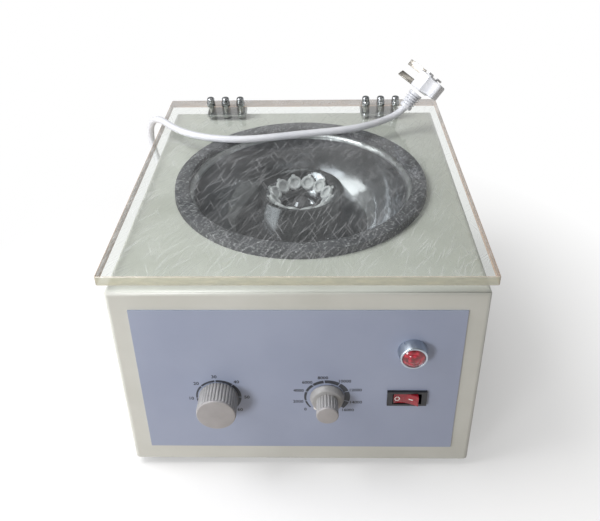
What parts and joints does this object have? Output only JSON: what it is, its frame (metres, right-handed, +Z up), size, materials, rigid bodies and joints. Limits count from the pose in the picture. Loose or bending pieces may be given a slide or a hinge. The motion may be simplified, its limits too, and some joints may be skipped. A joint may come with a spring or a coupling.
{
  "type": "bench centrifuge",
  "caption": "Box-shaped bench centrifuge with a clear hinged lid, an angle rotor of capped sample tubes in a steel bowl, timer and speed knobs, lamp, rocker switch and mains cord.",
  "frame": {"origin": "on the floor between the feet, under the middle of the object's width and depth without its cord", "axes": "+X to the right of someone facing the control panel, +Y from the panel to the back, +Z up"},
  "size_m": [0.3111, 0.431, 0.2593],
  "materials": {
    "case_paint": "semi-gloss",
    "zinc_sheet": "satin",
    "zinc_screws": "satin",
    "foot_rubber": "matte",
    "plate_print": "matte",
    "bowl_steel": "polished",
    "seal_rubber": "matte",
    "motor_paint": "satin",
    "cast_metal": "cast",
    "bearing_steel": "polished",
    "core_steel": "varnished",
    "wound_copper": "varnished",
    "carbon": "matte",
    "brass": "satin",
    "shaft_steel": "ground",
    "rotor_metal": "anodised",
    "tube_plastic": "translucent",
    "cap_plastic": "translucent",
    "dark_plastic": "moulded",
    "knob_plastic": "metallised",
    "lamp_chrome": "polished",
    "lamp_red": "clear",
    "rocker_red": "moulded",
    "board_laminate": "coated",
    "blue_sleeve": "sleeved",
    "lid_acrylic": "clear",
    "nut_chrome": "polished",
    "cord_plastic": "moulded",
    "plug_plastic": "moulded"
  },
  "bodies": {
    "case": {"case_shell": "case_paint", "base_tray": "zinc_sheet", "tray_screws": "zinc_screws", "rubber_feet": "foot_rubber", "foot_screws": "zinc_screws", "front_plate": "plate_print", "bowl": "bowl_steel", "sealing_ring": "seal_rubber", "shaft_boot": "foot_rubber", "plate_posts": "zinc_sheet", "rubber_isolators": "foot_rubber", "isolator_bolts": "zinc_screws", "motor_plate": "zinc_sheet", "motor_screws": "zinc_screws", "motor_housing": "motor_paint", "motor_top_bell": "cast_metal", "motor_bottom_bell": "cast_metal", "upper_bearing": "bearing_steel", "lower_bearing": "bearing_steel", "field_core": "core_steel", "carbon_brushes": "carbon", "brush_holders": "brass", "timer_body": "dark_plastic", "timer_nut": "zinc_screws", "speed_control": "zinc_sheet", "speed_nut": "zinc_screws", "lamp_body": "dark_plastic", "lamp_bezel": "lamp_chrome", "lamp_lens": "lamp_red", "switch_frame": "dark_plastic", "control_board": "board_laminate", "board_standoffs": "brass", "heat_sink": "cast_metal", "capacitor": "blue_sleeve", "fuse_holder": "dark_plastic", "case_hinge_leaves": "zinc_sheet", "hinge_pins": "shaft_steel", "case_hinge_screws": "zinc_screws", "cord_gland": "cord_plastic", "cord_lead": "cord_plastic", "cord_coil": "cord_plastic", "cord_tie": "dark_plastic", "cord_run": "cord_plastic"},
    "lid": {"lid_sheet": "lid_acrylic", "lid_hinge_leaves": "zinc_sheet", "lid_screws": "zinc_screws", "cap_nuts": "nut_chrome", "cord_on_lid": "cord_plastic", "plug": "plug_plastic"},
    "rotor": {"motor_shaft": "shaft_steel", "armature": "wound_copper", "commutator": "brass", "motor_fan": "dark_plastic", "rotor_head": "rotor_metal", "rotor_nut": "rotor_metal", "sample_tubes": "tube_plastic", "tube_caps": "cap_plastic"},
    "timer_grip": {"timer_knob": "knob_plastic"},
    "speed_grip": {"speed_knob": "knob_plastic"},
    "rocker": {"switch_rocker": "rocker_red"}
  },
  "joints": [
    {"name": "lid_hinge", "type": "hinge", "parent": "case", "child": "lid", "pos_m": [0, 0.16, 0.191], "axis": [-1, 0, 0], "range_deg": [0, 100]},
    {"name": "rotor_spin", "type": "hinge", "parent": "case", "child": "rotor", "pos_m": [0, 0.004, 0.15], "axis": [0, 0, 1], "continuous": true},
    {"name": "timer_knob_turn", "type": "hinge", "parent": "case", "child": "timer_grip", "pos_m": [-0.0635, -0.156, 0.0825], "axis": [0, 1, 0], "range_deg": [0, 283]},
    {"name": "speed_knob_turn", "type": "hinge", "parent": "case", "child": "speed_grip", "pos_m": [0.022, -0.156, 0.0825], "axis": [0, 1, 0], "range_deg": [0, 264]},
    {"name": "rocker_tilt", "type": "hinge", "parent": "case", "child": "rocker", "pos_m": [0.0845, -0.145, 0.0825], "axis": [0, 0, 1], "range_deg": [0, 20]}
  ]
}
